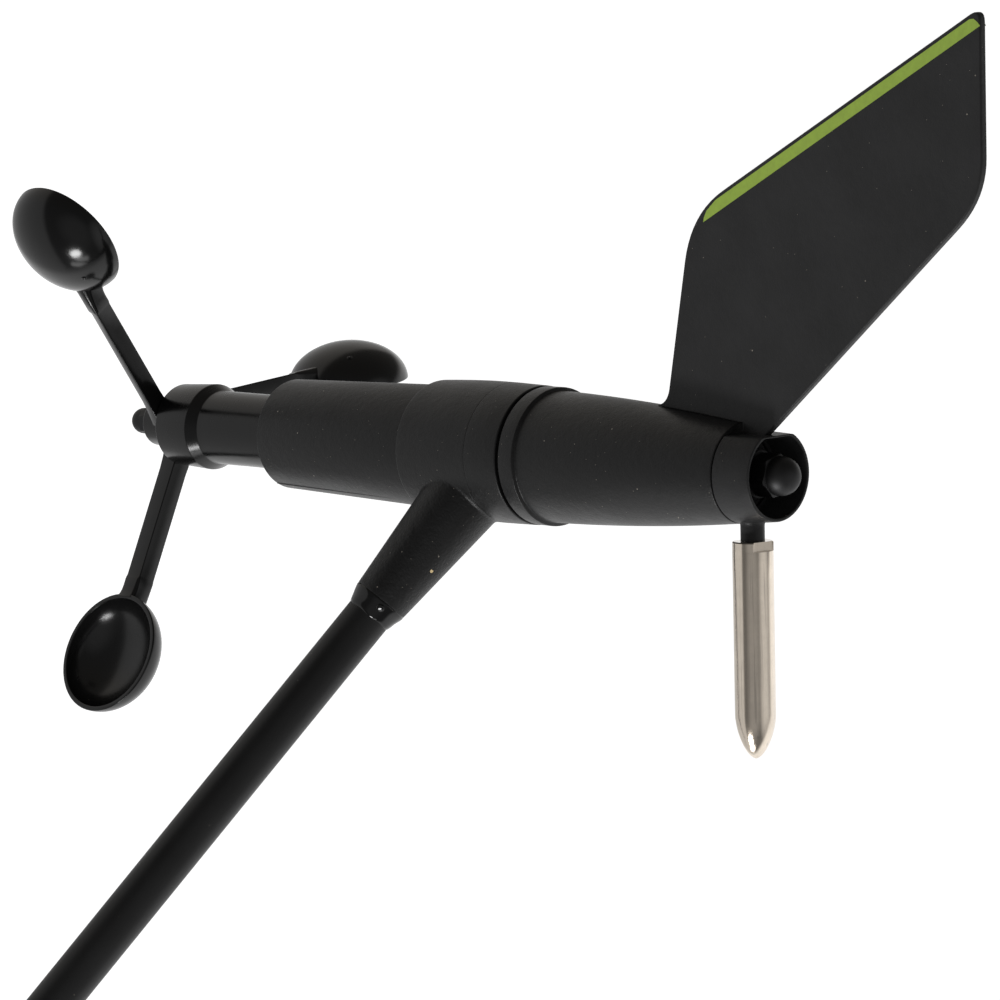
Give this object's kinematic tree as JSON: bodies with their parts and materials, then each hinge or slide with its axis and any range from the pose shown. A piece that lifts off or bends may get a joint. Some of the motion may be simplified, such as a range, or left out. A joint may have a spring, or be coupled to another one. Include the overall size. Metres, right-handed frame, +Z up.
{
  "type": "cup anemometer",
  "caption": "Masthead wind sensor: cup rotor below a slim bearing head, wind vane with fin and counterweight above, on an angled wand with a plug-in end.",
  "frame": {"origin": "on the wand's axis, in the middle of the plug spigot's free length", "axes": "+Z up along the rotor axis as mounted, +X level from the sensor head towards the plug end, +Y completes the right-handed frame"},
  "size_m": [0.4198, 0.1408, 0.3064],
  "materials": {
    "housing": "fine moulded grain",
    "vane_black": "satin",
    "rotor_black": "polished mould",
    "stripe": "printed film",
    "tube": "satin black over a carbon tube",
    "grip": "knurled",
    "nickel": "polished nickel",
    "dark_nut": "dark plated",
    "steel": "turned",
    "aluminium": "turned",
    "ball_steel": "polished",
    "magnet": "nickel plated",
    "brass": "turned",
    "seal": "moulded",
    "cable": "extruded",
    "board": "solder mask",
    "chip": "moulded",
    "ceramic": "moulded",
    "wire": "insulated",
    "insert": "moulded"
  },
  "bodies": {
    "head": {"upper_housing": "housing", "top_cap": "housing", "lower_housing": "housing", "housing_seal": "seal", "wand_tube": "tube", "wand_pin": "brass", "end_plug": "grip", "plug_seal": "seal", "connector_insert": "insert", "connector_contacts": "brass", "bearing_post": "aluminium", "post_screws": "steel", "upper_vane_race": "steel", "lower_vane_race": "steel", "vane_bearing_balls": "ball_steel", "cup_bearing_tube": "aluminium", "tube_screws": "steel", "upper_cup_race": "steel", "lower_cup_race": "steel", "cup_bearing_balls": "ball_steel", "angle_board": "board", "angle_sensor": "chip", "board_parts": "ceramic", "speed_board": "board", "speed_sensor": "chip", "board_wires": "wire", "wand_cable": "cable"},
    "vane": {"vane_barrel": "housing", "vane_fin": "vane_black", "edge_stripe": "stripe", "counterweight": "nickel", "weight_stud": "steel", "vane_shaft": "steel", "vane_spacer": "aluminium", "upper_vane_bush": "steel", "lower_vane_bush": "steel", "vane_clip": "steel", "magnet_holder": "brass", "angle_magnet": "magnet", "vane_washer": "dark_nut", "vane_nut": "dark_nut"},
    "cup_rotor": {"cup_hub": "rotor_black", "cup_1": "rotor_black", "cup_2": "rotor_black", "cup_3": "rotor_black", "cup_shaft": "steel", "cup_spacer": "aluminium", "upper_cup_bush": "steel", "lower_cup_bush": "steel", "speed_magnet": "magnet", "cup_washer": "steel", "cup_nut": "dark_nut"},
    "locking_nut_body": {"locking_nut": "grip"}
  },
  "joints": [
    {"name": "vane_spin", "type": "hinge", "parent": "head", "child": "vane", "pos_m": [-0.31333, 0, 0.15996], "axis": [0, 0, 1], "continuous": true},
    {"name": "cup_spin", "type": "hinge", "parent": "head", "child": "cup_rotor", "pos_m": [-0.31333, 0, 0.03996], "axis": [0, 0, 1], "continuous": true},
    {"name": "locking_nut_turn", "type": "hinge", "parent": "head", "child": "locking_nut_body", "pos_m": [-0.01674, 0, 0.00663], "axis": [0.9298, 0, -0.3681], "continuous": true}
  ]
}
